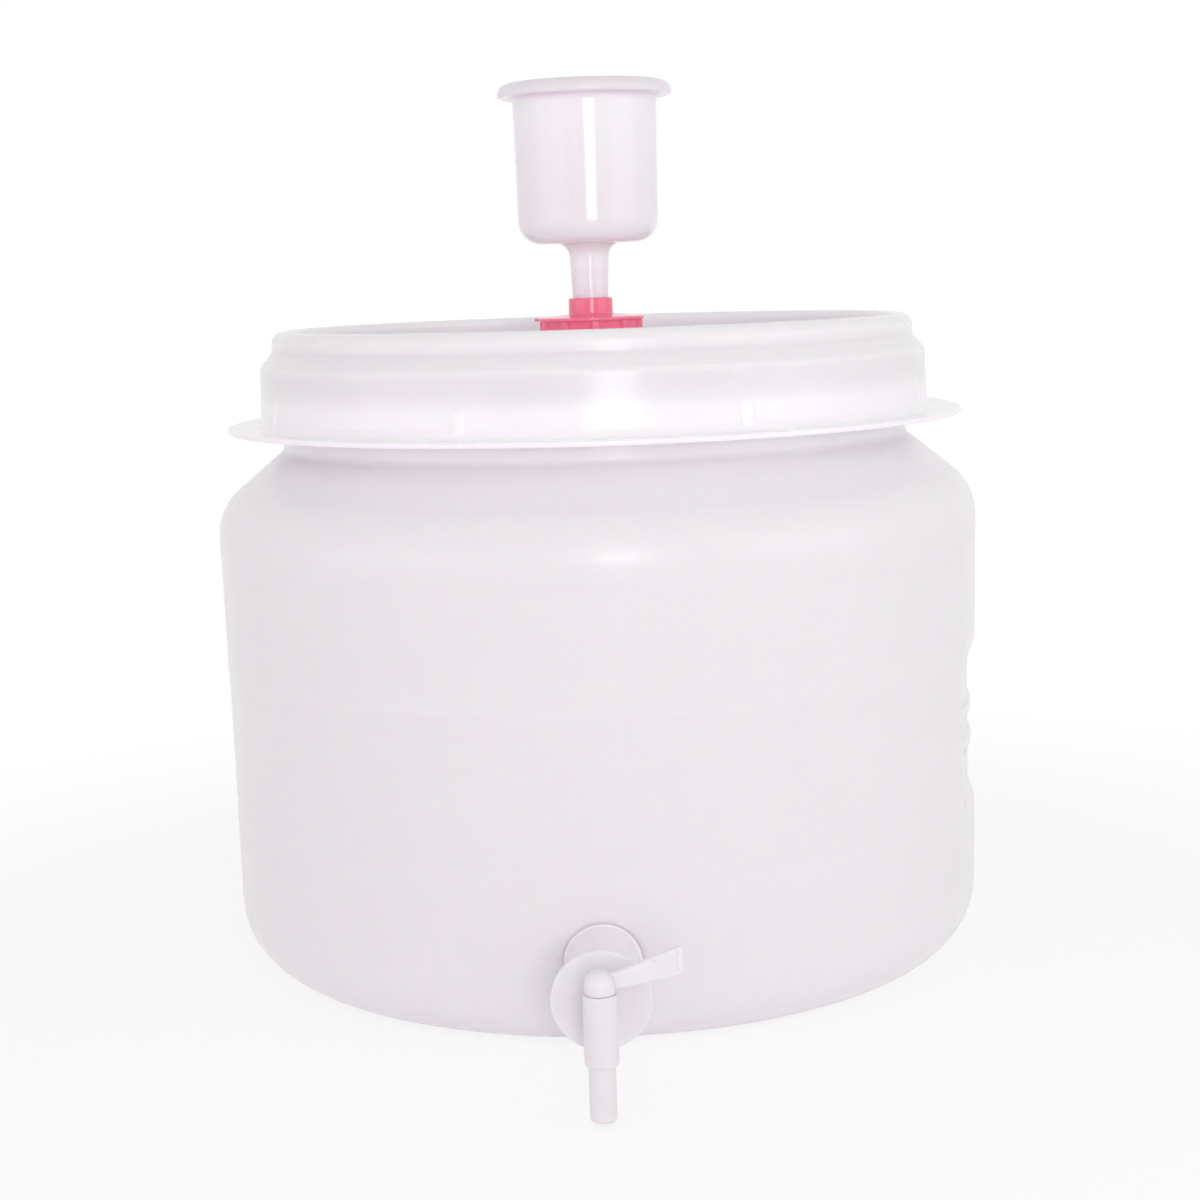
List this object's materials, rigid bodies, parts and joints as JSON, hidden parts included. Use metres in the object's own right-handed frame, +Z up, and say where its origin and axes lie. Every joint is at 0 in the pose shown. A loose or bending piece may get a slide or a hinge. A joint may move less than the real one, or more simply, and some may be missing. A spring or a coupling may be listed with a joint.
{
  "type": "fermentation jar with airlock",
  "caption": "Wide-mouth plastic fermentation jar with a press-on lid, a cup airlock in a screw cap and a lever drain tap.",
  "frame": {"origin": "centre of the jar's flat base, on the surface it stands on", "axes": "+Z up along the jar's axis, -Y out of the front along the drain tap, +X to the right of someone facing the tap"},
  "size_m": [0.3449, 0.419, 0.396],
  "materials": {
    "jar_plastic": "translucent natural polyethylene, satin",
    "lid_plastic": "translucent natural polyethylene, satin",
    "airlock_plastic": "translucent polypropylene, semi-gloss",
    "tap_plastic": "white polypropylene, semi-gloss",
    "red_plastic": "pinkish red polyethylene, semi-gloss",
    "seal_rubber": "pale grey rubber"
  },
  "bodies": {
    "jar": {"jar_body": "jar_plastic", "tap_washer": "seal_rubber", "tap_body": "tap_plastic"},
    "lid": {"lid": "lid_plastic", "lid_seal": "seal_rubber"},
    "cap_gasket": {"bung_cap_seal": "seal_rubber"},
    "screw_cap": {"bung_cap": "red_plastic", "stem_o_ring": "seal_rubber"},
    "airlock": {"airlock_cup": "airlock_plastic"},
    "bell": {"airlock_bell": "airlock_plastic"},
    "plug": {"tap_plug": "tap_plastic", "plug_o_rings": "seal_rubber"}
  },
  "joints": [
    {"name": "lid_lift", "type": "slide", "parent": "jar", "child": "lid", "axis": [0, 0, 1], "range_m": [0, 0.09]},
    {"name": "cap_rise", "type": "slide", "parent": "lid", "child": "cap_gasket", "axis": [0, 0, 1], "range_m": [0, 0.0091]},
    {"name": "cap_turn", "type": "hinge", "parent": "cap_gasket", "child": "screw_cap", "pos_m": [0, 0, 0.284], "axis": [0, 0, 1], "range_deg": [0, 810]},
    {"name": "airlock_pull", "type": "slide", "parent": "screw_cap", "child": "airlock", "axis": [0, 0, 1], "range_m": [0, 0.036]},
    {"name": "bell_lift", "type": "slide", "parent": "airlock", "child": "bell", "axis": [0, 0, 1], "range_m": [0, 0.074]},
    {"name": "tap_turn", "type": "hinge", "parent": "jar", "child": "plug", "pos_m": [0, -0.23996, 0.04], "axis": [0, 0, 1], "range_deg": [-90, 0]}
  ],
  "couplings": [
    {"joint": "cap_rise", "follows": "cap_turn", "m_per_rad": 0.00063662}
  ]
}
